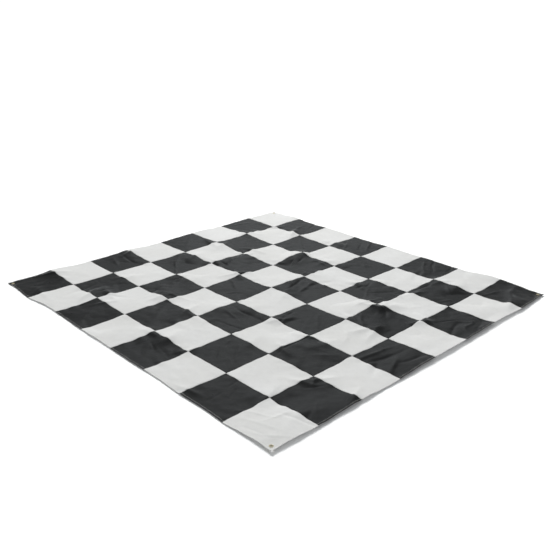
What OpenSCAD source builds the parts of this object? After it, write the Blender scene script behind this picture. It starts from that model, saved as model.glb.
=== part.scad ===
// Giant draughts and chess mat for the lawn: 64 sewn nylon squares that lie loosely
// on the ground, a stitched hem, and a brass eyelet with its washer in each corner.
//
// Millimetres. The origin is under the middle of the mat, on the ground, and +Z is up.
// X runs from the left side to the right side, Y from the near side to the far side.
// Places on the mat are given in squares, u along X and v along Y, each from 0 to 8.

/* [Mat] */
// Side of one square
square_w = 350; // [250:10:400]
// Thickness of the nylon cloth
cloth_t = 0.5; // [0.3:0.1:0.8]
// Distance of the hem stitching from the edge
hem_w = 10; // [6:1:20]
// Flat cells along one square
cells = 4; // [2:1:5]

/* [Lie of the cloth] */
// How far the broad swells lift the cloth off the ground
swell_h = 5; // [0:0.5:8]
// Height of the ripples, as a share of their design height
ripple_share = 1; // [0:0.1:1.2]
// Lift of the near side's edge
near_lift = 8; // [0:1:12]
// Lift of the left side's edge
left_lift = 3; // [0:1:8]

/* [Eyelets] */
// Distance of an eyelet's centre from both edges
eyelet_inset = 30; // [20:1:45]
// Bore of an eyelet
hole_d = 12; // [8:0.5:14]
// Outer diameter of the eyelet's flange and of its washer
flange_d = 24; // [20:0.5:30]
// Height of the flange's rolled dome
dome_h = 1.5; // [1:0.1:2.5]
// Wall of the eyelet's barrel
barrel_t = 0.6; // [0.4:0.1:1]
// Thickness of the washer
washer_t = 0.8; // [0.5:0.1:1]

/* [Thread] */
// Width of a stitch line
thread_w = 1.2; // [0.6:0.1:2]
// Height of a stitch line
thread_h = 0.5; // [0.3:0.1:0.8]

/* [Hidden] */
$fn = 48;
squares = 8;
half = squares / 2;
hem = hem_w / square_w;

// Rise of a stitch line over the cloth, so that it clears a sloping facet
thread_gap = 0.2;
// Shortfall of a stitch line at each end, where another line crosses it
thread_cut = 1.5;
// Play of the barrel in the cloth and in the washer
barrel_play = 0.1;
// Drop of the clenched curl below the washer
curl_h = 1;
// Flat part of the flange's rim, and of the curl's rim
rim_h = 0.4;
// Reach of the clenched curl beyond the barrel's bore
curl_w = 2.6;
hole_r = hole_d / 2;
flange_r = flange_d / 2;
barrel_r = hole_r + barrel_t;

// Flat patch round each corner: out to flat_reach, then blending into the ripples
// up to free_reach, both in squares
flat_reach = 0.26;
free_reach = 1;
// Reach of an edge's lift, in squares
edge_reach = 0.9;

// Ripples, broad and soft: u, v, heading of the ridge in degrees, half its length,
// half its width (all in squares) and its height
ripples = [
    [1.0, 0.3, 20, 0.9, 0.45, 9],
    [5.0, 1.0, 30, 0.8, 0.4, 10],
    [1.7, 1.0, 130, 0.8, 0.4, 6],
    [7.0, 0.3, 160, 0.8, 0.4, 6],
    [8.0, 1.3, 0, 0.8, 0.5, 8],
    [2.3, 2.0, 60, 0.9, 0.4, 9],
    [5.0, 2.0, 150, 1.0, 0.45, 14],
    [7.0, 2.0, 80, 0.7, 0.4, 6],
    [3.0, 2.9, 110, 0.7, 0.4, 8],
    [4.0, 3.7, 50, 1.2, 0.5, 15],
    [0.9, 4.0, 100, 0.7, 0.35, 6],
    [4.6, 4.0, 10, 0.9, 0.4, 6],
    [6.1, 4.4, 70, 0.8, 0.4, 8],
    [2.0, 5.2, 35, 1.0, 0.4, 15],
    [4.0, 5.1, 130, 0.8, 0.4, 10],
    [5.8, 5.0, 20, 1.0, 0.4, 22],
    [1.2, 6.1, 15, 0.8, 0.4, 11],
    [3.0, 5.8, 140, 0.9, 0.4, 9],
    [5.2, 6.0, 50, 0.9, 0.4, 9],
    [7.0, 6.3, 40, 0.9, 0.4, 15],
    [5.0, 6.9, 70, 0.8, 0.4, 12],
    [6.1, 7.0, 110, 0.9, 0.4, 11],
    [1.0, 7.7, 60, 0.7, 0.4, 9],
    [3.0, 7.8, 80, 0.8, 0.4, 8],
    [5.4, 8.0, 90, 0.8, 0.5, 7],
    [8.0, 7.3, 30, 0.8, 0.5, 7],
];

// Corners: name, u, v, height of the cloth's underside there, and how far the hem
// draws the corner in along X and Y
corners = [
    ["front", 0, 0, 16, 30, 4],
    ["right", squares, 0, 8, 0, 0],
    ["back", squares, squares, 3, 0, 0],
    ["left", 0, squares, 3, 0, 0],
];

// ---- Lie of the cloth ----

// A smooth hump: 1 at t = 0, and 0 from t = 1 or -1 outwards
function hump(t) = abs(t) < 1 ? (1 + cos(180 * t)) / 2 : 0;

function total(list, k = 0) = k < len(list) ? list[k] + total(list, k + 1) : 0;

function ripple_at(r, u, v) =
    let (
        along = (u - r[0]) * cos(r[2]) + (v - r[1]) * sin(r[2]),
        across = (v - r[1]) * cos(r[2]) - (u - r[0]) * sin(r[2])
    )
    ripple_share * r[5] * hump(along / r[3]) * hump(across / r[4]);

function swell_at(u, v) =
    swell_h * (0.35 + 0.65 * sin(150 * u + 60 * v) * sin(130 * v - 40 * u + 20));

function edge_lift_at(u, v) =
    near_lift * hump(v / edge_reach) + left_lift * hump(u / edge_reach);

// Share of a corner's flat patch at a place: 1 on the patch, 0 beyond its blend
function corner_share(corner, u, v) =
    let (reach = max(abs(u - corner[1]), abs(v - corner[2])))
    hump(max(0, reach - flat_reach) / (free_reach - flat_reach));

function loose_height(u, v) =
    max(0, swell_at(u, v) + edge_lift_at(u, v) + total([for (r = ripples) ripple_at(r, u, v)]));

// Height of the cloth's underside
function height(u, v) =
    let (
        shares = [for (corner = corners) corner_share(corner, u, v)],
        held = total([for (k = [0 : len(corners) - 1]) shares[k] * corners[k][3]])
    )
    (1 - total(shares)) * loose_height(u, v) + held;

// A point on the cloth's underside
function place(u, v) =
    let (
        shares = [for (corner = corners) corner_share(corner, u, v)],
        draw_x = total([for (k = [0 : len(corners) - 1]) shares[k] * corners[k][4]]),
        draw_y = total([for (k = [0 : len(corners) - 1]) shares[k] * corners[k][5]])
    )
    [(u - half) * square_w + draw_x, (v - half) * square_w + draw_y, height(u, v)];

// The middle of a corner's eyelet, on the cloth's underside
function eyelet_place(corner) =
    let (inset = eyelet_inset / square_w)
    place(abs(corner[1] - inset), abs(corner[2] - inset));

// The lines that cut square number k into cells, with the hem's line on the outer squares
function lines(k) = [
    k,
    if (k == 0) hem,
    for (cell = [1 : cells - 1]) k + cell / cells,
    if (k == squares - 1) squares - hem,
    k + 1,
];

// All of the lines from square number first to square number last, each of them once
function lines_between(first, last) = [
    for (k = [first : last]) for (n = [0 : len(lines(k)) - 2]) lines(k)[n],
    last + 1,
];

// ---- Nylon squares ----

module square_panel(column, row) {
    us = lines(column);
    vs = lines(row);
    nu = len(us);
    nv = len(vs);
    count = nu * nv;
    under = [for (v = vs) for (u = us) place(u, v)];
    upper = [for (point = under) point + [0, 0, cloth_t]];
    // The outline's points, anticlockwise as seen from above
    rim = [
        for (a = [0 : nu - 1]) a,
        for (b = [1 : nv - 1]) b * nu + nu - 1,
        for (a = [nu - 2 : -1 : 0]) (nv - 1) * nu + a,
        for (b = [nv - 2 : -1 : 1]) b * nu,
    ];
    polyhedron(
        points = concat(under, upper),
        faces = [
            for (b = [0 : nv - 2]) for (a = [0 : nu - 2])
                let (p = b * nu + a)
                each [
                    [p, p + 1, p + nu + 1],
                    [p, p + nu + 1, p + nu],
                    [count + p, count + p + nu + 1, count + p + 1],
                    [count + p, count + p + nu, count + p + nu + 1],
                ],
            for (k = [0 : len(rim) - 1])
                let (here = rim[k], next = rim[(k + 1) % len(rim)])
                [here, here + count, next + count, next],
        ]
    );
}

// Four squares of one row, with a hole at each eyelet. tone is 0 for white, 1 for black
module row_squares(row, tone) {
    difference() {
        for (column = [0 : squares - 1])
            if ((column + row) % 2 == tone)
                square_panel(column, row);
        for (corner = corners)
            translate(eyelet_place(corner) - [0, 0, washer_t])
                cylinder(r = barrel_r + barrel_play, h = cloth_t + 2 * washer_t);
    }
}

module row_white(row) {
    color([0.86, 0.86, 0.85])
        row_squares(row, 0);
}

module row_black(row) {
    color([0.14, 0.14, 0.15])
        row_squares(row, 1);
}

// ---- Stitch lines ----

// The point at a distance from start on the way to end
function on_the_way(start, end, distance) =
    start + (end - start) * distance / norm(end - start);

// A line of points with its two ends cut back
function cut_back(points, distance) =
    let (last = len(points) - 1)
    [
        on_the_way(points[0], points[1], distance),
        for (k = [1 : last - 1]) points[k],
        on_the_way(points[last], points[last - 1], distance),
    ];

// A flat thread that lies on the cloth along points of its underside. side is the
// level direction across the thread, on the left of its run
module thread(points, side) {
    low = cloth_t + thread_gap;
    high = low + thread_h;
    reach = side * thread_w / 2;
    last = len(points) - 1;
    polyhedron(
        points = [
            for (point = points)
                each [
                    point - reach + [0, 0, low],
                    point + reach + [0, 0, low],
                    point + reach + [0, 0, high],
                    point - reach + [0, 0, high],
                ],
        ],
        faces = [
            [3, 2, 1, 0],
            for (k = [0 : last - 1]) for (edge = [0 : 3])
                let (here = 4 * k + edge, next = 4 * k + (edge + 1) % 4)
                [here, next, next + 4, here + 4],
            [for (edge = [0 : 3]) 4 * last + edge],
        ]
    );
}

module thread_along_x(v, from, to) {
    points = [for (u = lines_between(0, squares - 1)) if (u >= from && u <= to) place(u, v)];
    thread(cut_back(points, thread_cut), [0, 1, 0]);
}

module thread_along_y(u, from, to) {
    points = [for (v = lines_between(0, squares - 1)) if (v >= from && v <= to) place(u, v)];
    thread(cut_back(points, thread_cut), [-1, 0, 0]);
}

// The long seam between a row and the next, in black thread
module seam_thread(row) {
    color([0.1, 0.1, 0.1])
        thread_along_x(row, hem, squares - hem);
}

// The short seams between the squares of one row, inside the hems and the long seams
module joining_thread(row) {
    color([0.1, 0.1, 0.1])
        for (column = [1 : squares - 1])
            thread_along_y(column, max(row - 1, hem), min(row, squares - hem));
}

// The hem along the near or the far side, in white thread
module long_hem_thread(v) {
    color([0.85, 0.85, 0.82])
        thread_along_x(v, 0, squares);
}

// The hem along half of the left or the right side
module short_hem_thread(u, from, to) {
    color([0.85, 0.85, 0.82])
        thread_along_y(u, from, to);
}

// ---- Eyelets ----

module eyelet(corner) {
    curl_r = hole_r + curl_w;
    washer_z = -cloth_t - washer_t;
    color([0.78, 0.62, 0.33])
        translate(eyelet_place(corner) + [0, 0, cloth_t])
            rotate_extrude()
                polygon([
                    [flange_r, 0],
                    for (angle = [0 : 15 : 180]) [
                        (flange_r + hole_r) / 2 + (flange_r - hole_r) / 2 * cos(angle),
                        rim_h + (dome_h - rim_h) * sin(angle),
                    ],
                    for (angle = [180 : 30 : 360]) [
                        (curl_r + hole_r) / 2 + curl_w / 2 * cos(angle),
                        washer_z - rim_h + (curl_h - rim_h) * sin(angle),
                    ],
                    [curl_r, washer_z],
                    [barrel_r, washer_z],
                    [barrel_r, 0],
                ]);
}

module washer(corner) {
    color([0.74, 0.6, 0.34])
        translate(eyelet_place(corner) - [0, 0, washer_t])
            difference() {
                cylinder(r = flange_r, h = washer_t);
                translate([0, 0, -washer_t])
                    cylinder(r = barrel_r + barrel_play, h = 3 * washer_t);
            }
}

// ---- The assembly ----

for (row = [1 : squares]) {
    row_white(row - 1);
    row_black(row - 1);
    joining_thread(row);
}
for (row = [1 : squares - 1])
    seam_thread(row);

long_hem_thread(hem);  // hem_thread_near
long_hem_thread(squares - hem);  // hem_thread_far
short_hem_thread(hem, hem, half);  // hem_thread_left_near
short_hem_thread(hem, half, squares - hem);  // hem_thread_left_far
short_hem_thread(squares - hem, hem, half);  // hem_thread_right_near
short_hem_thread(squares - hem, half, squares - hem);  // hem_thread_right_far

for (corner = corners) {
    eyelet(corner);
    washer(corner);
}
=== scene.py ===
"""Giant draughts and chess mat for the lawn: 64 sewn nylon squares lying in loose ripples,
with felled seams, a turned and stitched hem, and a brass eyelet in each corner.

Places on the mat are given in squares, u along +X and v along +Y, each from 0 to 8.
Lengths named in _MM are millimetres. Everything in Blender is in metres, in the CAD frame.
"""

import math

import bpy
import numpy as np
from mathutils import Matrix, Vector
from mathutils.bvhtree import BVHTree


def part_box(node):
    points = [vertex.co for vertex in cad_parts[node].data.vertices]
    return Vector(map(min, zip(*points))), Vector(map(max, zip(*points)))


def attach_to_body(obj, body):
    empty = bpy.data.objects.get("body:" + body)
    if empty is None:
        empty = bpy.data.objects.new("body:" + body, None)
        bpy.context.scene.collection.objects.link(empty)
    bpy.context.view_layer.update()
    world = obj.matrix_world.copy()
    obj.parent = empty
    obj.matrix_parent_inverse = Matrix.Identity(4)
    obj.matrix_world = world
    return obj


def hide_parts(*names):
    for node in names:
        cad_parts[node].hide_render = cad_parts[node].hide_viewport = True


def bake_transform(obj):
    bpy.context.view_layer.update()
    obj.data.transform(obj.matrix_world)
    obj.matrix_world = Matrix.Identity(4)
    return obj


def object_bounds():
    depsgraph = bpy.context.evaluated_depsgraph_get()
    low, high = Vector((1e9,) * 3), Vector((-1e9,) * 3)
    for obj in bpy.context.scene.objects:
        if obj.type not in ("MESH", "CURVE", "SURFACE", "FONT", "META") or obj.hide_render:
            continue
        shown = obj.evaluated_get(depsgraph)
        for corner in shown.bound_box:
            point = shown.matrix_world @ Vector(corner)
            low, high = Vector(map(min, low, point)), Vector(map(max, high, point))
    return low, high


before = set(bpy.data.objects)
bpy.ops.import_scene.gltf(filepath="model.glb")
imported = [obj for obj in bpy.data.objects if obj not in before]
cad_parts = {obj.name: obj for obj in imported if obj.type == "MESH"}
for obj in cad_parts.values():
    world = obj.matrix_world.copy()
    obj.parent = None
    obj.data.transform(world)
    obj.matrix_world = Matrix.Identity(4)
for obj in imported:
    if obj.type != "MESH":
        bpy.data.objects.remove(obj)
CAD_LOW, CAD_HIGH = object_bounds()

# ---------------------------------------------------------------- sizes

SQUARES = 8
HALF = SQUARES / 2
SIDE = (CAD_HIGH.x - CAD_LOW.x) / SQUARES
SIDE_MM = SIDE * 1000
MM = 0.001

CLOTH_MM = 0.5
ALLOWANCE_MM = 9.0  # width of the felled seam allowance, on each side of a seam
ALLOWANCE_THICK_MM = 0.8  # what the allowance adds to the cloth's thickness
HEM_MM = 12.0  # width of the turned hem
HEM_THICK_MM = 0.8  # what the turned hem adds to the cloth's thickness
HEM_STITCH_MM = 10.0  # from the edge to the stitches of the hem
SEAM_STITCH_MM = 6.0  # from the seam to the stitches that hold its allowance down

EYELET_INSET_MM = 30.0  # from an eyelet's centre to both edges of a flat mat
HOLE_RADIUS_MM = 6.7  # of the hole in the cloth that an eyelet's barrel passes through
EYELET_FLAT_MM = 18.0  # the cloth is flat out to here round an eyelet's centre
EYELET_FREE_MM = 60.0  # and as it likes from here on
CORNERS = {"front": (0, 0), "right": (SQUARES, 0), "back": (SQUARES, SQUARES), "left": (0, SQUARES)}

EYELETS = {}
for place in CORNERS:
    eyelet_low, eyelet_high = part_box(f"eyelet_{place}")
    EYELETS[place] = (eyelet_low + eyelet_high) / 2

GRID_PER_SQUARE = 48  # cells along a square in the grid that holds the lie of the cloth
PANEL_CELL_MM = 7.5  # cells of the finished cloth, away from its seams
LOWEST_MM = 1.8  # the cloth's top never comes nearer to the ground than this
GROUND_GAP_MM = 0.1  # and its underside, or a stitch's, no nearer than this
RAISE_MM = 4.0  # this cloth lies this far over the CAD cloth


# ---------------------------------------------------------------- helpers


def cubic_weights(t):
    """The four Catmull-Rom weights at a share t between the two middle samples."""
    return (
        ((-0.5 * t + 1.0) * t - 0.5) * t,
        (1.5 * t - 2.5) * t * t + 1.0,
        ((-1.5 * t + 2.0) * t + 0.5) * t,
        (0.5 * t - 0.5) * t * t,
    )


def sample(grid, across, up):
    """grid[row, column] read smoothly at the fractional columns across and rows up."""
    rows, columns = grid.shape[:2]
    column = np.clip(np.floor(across).astype(int), 0, columns - 2)
    row = np.clip(np.floor(up).astype(int), 0, rows - 2)
    weights_across = cubic_weights(across - column)
    weights_up = cubic_weights(up - row)
    total = 0.0
    for b in range(4):
        line = 0.0
        for a in range(4):
            picked = grid[
                np.clip(row + b - 1, 0, rows - 1), np.clip(column + a - 1, 0, columns - 1)
            ]
            weight = weights_across[a]
            line = line + picked * (weight if picked.ndim == weight.ndim else weight[..., None])
        weight = weights_up[b]
        total = total + line * (weight if line.ndim == weight.ndim else weight[..., None])
    return total


def noise(seed, u, v, cell_u, cell_v):
    """Smooth random heights, about 1 in size, with features of cell_u by cell_v squares."""
    rng = np.random.default_rng(seed)
    columns = int(SQUARES / cell_u) + 4
    rows = int(SQUARES / cell_v) + 4
    lattice = rng.standard_normal((rows, columns))
    across = np.clip(u / cell_u + 1, 0, columns - 1)
    up = np.clip(v / cell_v + 1, 0, rows - 1)
    return sample(lattice, across, up)


def smooth(t):
    """0 at t = 0 and below, 1 at t = 1 and above, and level at both ends."""
    t = np.clip(t, 0, 1)
    return t * t * (3 - 2 * t)


def hump(t):
    """1 at t = 0, and 0 from t = 1 or -1 outwards."""
    return 0.5 + 0.5 * np.cos(np.pi * np.clip(t, -1, 1))


# ---------------------------------------------------------------- camera

EYE = Vector((-3.219, -3.238, 1.966))
HEADING = math.radians(42.80)  # from +Y towards +X
LOOK_DOWN = math.radians(22.07)
ROLL = math.radians(0.41)
LENS_MM = 43.97
SENSOR_MM = 36.0
SHIFT_X = 0.0455
SIGHT = 1000.0  # how far the camera sees, in metres, past the far edge of the floor


def make_camera():
    """The photographer's view, over the front corner, as a fit to the photo's squares gives it."""
    data = bpy.data.cameras.new("camera")
    data.sensor_width = SENSOR_MM
    data.lens = LENS_MM
    data.shift_x = SHIFT_X
    data.clip_end = SIGHT
    camera = bpy.data.objects.new("camera", data)
    bpy.context.scene.collection.objects.link(camera)
    camera.matrix_world = (
        Matrix.Translation(EYE)
        @ Matrix.Rotation(-HEADING, 4, "Z")
        @ Matrix.Rotation(math.pi / 2 - LOOK_DOWN, 4, "X")
        @ Matrix.Rotation(ROLL, 4, "Z")
    )
    bpy.context.scene.camera = camera


make_camera()

# ---------------------------------------------------------------- lie of the cloth

# Wrinkles that cross a seam: u, v, heading of the crest in degrees, half its length and half
# its width in squares, and its height in millimetres. A hollow has a height below 0. Their
# places and heights follow a script's printout of how far the photo's seams stray from straight.
WRINKLES = [
    (1.0, 1.05, 15, 0.3, 0.17, 8),
    (1.0, 3.05, -20, 0.28, 0.15, 7),
    (1.0, 3.6, 15, 0.34, 0.3, 14),
    (1.0, 5.7, -15, 0.26, 0.15, 7),
    (1.0, 6.3, 20, 0.35, 0.24, 13),
    (1.0, 6.65, 10, 0.3, 0.16, -8),
    (1.0, 7.78, -25, 0.32, 0.14, 9),
    (2.0, 0.15, 20, 0.3, 0.16, 7),
    (2.0, 0.85, -30, 0.32, 0.17, 8),
    (2.0, 4.3, 20, 0.32, 0.17, 8),
    (2.0, 5.2, -10, 0.36, 0.18, 5),
    (2.0, 5.6, 15, 0.3, 0.16, -7),
    (2.0, 7.4, -20, 0.32, 0.18, -8),
    (3.0, 0.5, 25, 0.3, 0.18, -7),
    (3.0, 2.4, 15, 0.3, 0.16, -8),
    (3.0, 2.85, -20, 0.3, 0.15, 6),
    (3.0, 5.75, 30, 0.3, 0.16, 6),
    (3.0, 6.4, -15, 0.3, 0.17, -7),
    (3.0, 7.8, 20, 0.3, 0.17, 8),
    (4.0, 1.45, -25, 0.36, 0.18, 9),
    (4.0, 2.6, 15, 0.3, 0.17, -7),
    (4.0, 3.6, 30, 0.36, 0.16, 5),
    (4.0, 5.1, -20, 0.34, 0.17, 9),
    (4.0, 6.6, 20, 0.3, 0.17, 7),
    (5.0, 0.95, -30, 0.32, 0.17, 7),
    (5.0, 1.85, 20, 0.36, 0.15, 8),
    (5.0, 2.2, -10, 0.34, 0.15, 8),
    (5.0, 2.7, 25, 0.32, 0.17, -9),
    (5.0, 3.5, -15, 0.3, 0.17, -8),
    (5.0, 4.1, 20, 0.3, 0.15, 6),
    (5.0, 5.15, -20, 0.32, 0.17, -8),
    (5.0, 6.75, 15, 0.34, 0.18, 5),
    (6.0, 1.85, -20, 0.3, 0.16, 6),
    (6.0, 3.6, 15, 0.32, 0.18, -9),
    (6.0, 4.4, -30, 0.32, 0.22, 5),
    (6.0, 5.45, 20, 0.32, 0.17, -8),
    (6.0, 7.1, -15, 0.34, 0.18, 3),
    (7.0, 0.25, 25, 0.32, 0.17, 7),
    (7.0, 1.8, -20, 0.3, 0.16, 6),
    (7.0, 2.4, 20, 0.3, 0.16, -7),
    (7.0, 5.15, -15, 0.32, 0.17, -8),
    (7.0, 6.25, 30, 0.38, 0.18, 11),
    (7.0, 6.9, -20, 0.32, 0.16, 8),
    (1.7, 1.0, 110, 0.3, 0.17, 7),
    (5.15, 1.0, 75, 0.3, 0.17, 6),
    (0.15, 2.0, 100, 0.3, 0.17, 8),
    (2.3, 2.0, 70, 0.32, 0.17, 8),
    (2.95, 2.0, 110, 0.3, 0.15, 7),
    (4.1, 2.0, 75, 0.32, 0.17, 8),
    (4.85, 2.0, 105, 0.34, 0.16, 9),
    (4.4, 3.0, 80, 0.32, 0.18, -9),
    (5.2, 3.0, 105, 0.34, 0.18, -7),
    (6.4, 3.0, 75, 0.32, 0.18, -9),
    (0.9, 4.0, 100, 0.28, 0.16, 5),
    (1.9, 4.0, 80, 0.3, 0.17, 7),
    (4.5, 4.0, 75, 0.3, 0.17, 6),
    (5.2, 4.0, 110, 0.3, 0.16, 6),
    (0.25, 5.0, 85, 0.3, 0.2, -7),
    (2.25, 5.0, 105, 0.3, 0.16, 7),
    (3.95, 5.0, 70, 0.32, 0.16, 8),
    (5.8, 5.0, 95, 0.36, 0.17, 3),
    (1.3, 6.0, 75, 0.34, 0.17, 9),
    (1.8, 6.0, 100, 0.3, 0.17, -8),
    (4.1, 6.0, 80, 0.32, 0.17, 8),
    (5.3, 6.0, 105, 0.32, 0.17, 8),
    (0.3, 7.0, 80, 0.3, 0.17, 7),
    (2.4, 7.0, 100, 0.3, 0.17, -7),
    (4.85, 7.0, 75, 0.32, 0.17, 9),
    (6.15, 7.0, 110, 0.32, 0.17, 5),
]

# Broader rises and hollows across the seams, in the same terms. They follow a printout of how
# far the render's seams then lay from the photo's.
SWELLS = [
    (7.95, 0.95, 90, 0.55, 0.5, 8),
    (1.0, 1.2, -10, 0.35, 0.3, 5),
    (2.0, 2.5, 10, 0.4, 0.6, 11),
    (2.0, 5.6, -10, 0.35, 0.4, -8),
    (2.0, 6.5, 15, 0.35, 0.3, 10),
    (2.0, 7.5, 0, 0.4, 0.45, -6),
    (3.0, 1.6, -10, 0.4, 0.4, 11),
    (3.0, 2.6, 10, 0.4, 0.4, -15),
    (3.0, 3.6, -10, 0.35, 0.45, 7),
    (3.0, 4.5, 0, 0.4, 0.5, -7),
    (3.0, 5.5, 15, 0.35, 0.45, 8),
    (3.0, 6.7, -10, 0.35, 0.5, -9),
    (3.0, 7.7, 10, 0.3, 0.35, 7),
    (4.0, 0.25, 0, 0.4, 0.45, -8),
    (4.0, 1.3, 15, 0.35, 0.2, 11),
    (4.0, 5.8, -15, 0.35, 0.35, -7),
    (4.0, 6.55, 10, 0.4, 0.5, 9),
    (5.0, 0.2, 0, 0.4, 0.4, -8),
    (5.0, 1.8, -15, 0.35, 0.3, 8),
    (5.0, 2.6, 10, 0.35, 0.3, -22),
    (5.0, 3.3, 0, 0.35, 0.3, -5),
    (5.0, 4.82, -10, 0.35, 0.35, -22),
    (5.0, 5.8, 10, 0.35, 0.35, 8),
    (6.0, 0.2, 0, 0.4, 0.45, -12),
    (6.0, 1.8, 10, 0.35, 0.35, 6),
    (6.0, 3.5, 0, 0.4, 0.6, -6),
    (6.0, 4.25, -15, 0.35, 0.3, 10),
    (6.0, 5.35, 15, 0.35, 0.35, -8),
    (7.0, 0.5, 0, 0.4, 0.6, -10),
    (7.0, 1.4, 10, 0.4, 0.5, 17),
    (7.0, 2.22, -10, 0.35, 0.3, -14),
    (7.0, 6.45, 10, 0.35, 0.3, -7),
    (7.0, 7.5, 0, 0.35, 0.3, 7),
    (0.55, 1.0, 90, 0.35, 0.6, -5),
    (1.4, 1.0, 80, 0.35, 0.45, 7),
    (2.5, 1.0, 100, 0.4, 0.6, -5),
    (4.6, 1.0, 85, 0.4, 0.5, -17),
    (6.58, 1.0, 100, 0.4, 0.5, -26),
    (0.5, 2.0, 90, 0.4, 0.7, 5),
    (2.6, 2.0, 95, 0.35, 0.45, 8),
    (3.7, 2.0, 85, 0.35, 0.45, -5),
    (5.5, 2.0, 95, 0.35, 0.4, -16),
    (6.85, 2.0, 85, 0.35, 0.35, -7),
    (7.5, 2.0, 100, 0.35, 0.5, -9),
    (2.7, 3.0, 85, 0.4, 0.5, -12),
    (4.5, 3.0, 95, 0.4, 0.55, -19),
    (5.55, 3.0, 85, 0.3, 0.25, 8),
    (6.38, 3.0, 95, 0.4, 0.55, -24),
    (1.35, 4.0, 90, 0.35, 0.5, -6),
    (2.5, 4.0, 95, 0.4, 0.8, 10),
    (4.75, 4.0, 85, 0.35, 0.4, 5),
    (6.15, 4.0, 95, 0.35, 0.4, 8),
    (7.5, 4.0, 90, 0.4, 0.5, -6),
    (0.4, 5.0, 90, 0.4, 0.7, -8),
    (1.75, 5.0, 85, 0.4, 0.6, -11),
    (2.55, 5.0, 95, 0.35, 0.3, -8),
    (4.6, 5.0, 85, 0.4, 0.55, -16),
    (5.2, 5.0, 95, 0.3, 0.3, 6),
    (6.3, 5.0, 85, 0.4, 0.4, -13),
    (6.7, 5.0, 95, 0.35, 0.35, -8),
    (7.22, 5.0, 95, 0.35, 0.35, 12),
    (7.8, 5.0, 90, 0.35, 0.35, -6),
    (0.6, 6.0, 85, 0.4, 0.8, -6),
    (1.75, 6.0, 90, 0.35, 0.4, -14),
    (2.5, 6.0, 95, 0.4, 0.7, -8),
    (3.45, 6.0, 85, 0.4, 0.55, -21),
    (4.5, 6.0, 95, 0.4, 0.6, 9),
    (6.75, 6.0, 95, 0.35, 0.4, -6),
    (7.5, 6.0, 90, 0.4, 0.7, -8),
    (2.48, 7.0, 85, 0.4, 0.5, -24),
    (3.75, 7.0, 95, 0.35, 0.45, 5),
    (5.6, 7.0, 85, 0.35, 0.6, 8),
    (7.5, 7.0, 90, 0.35, 0.7, 6),
]

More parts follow.
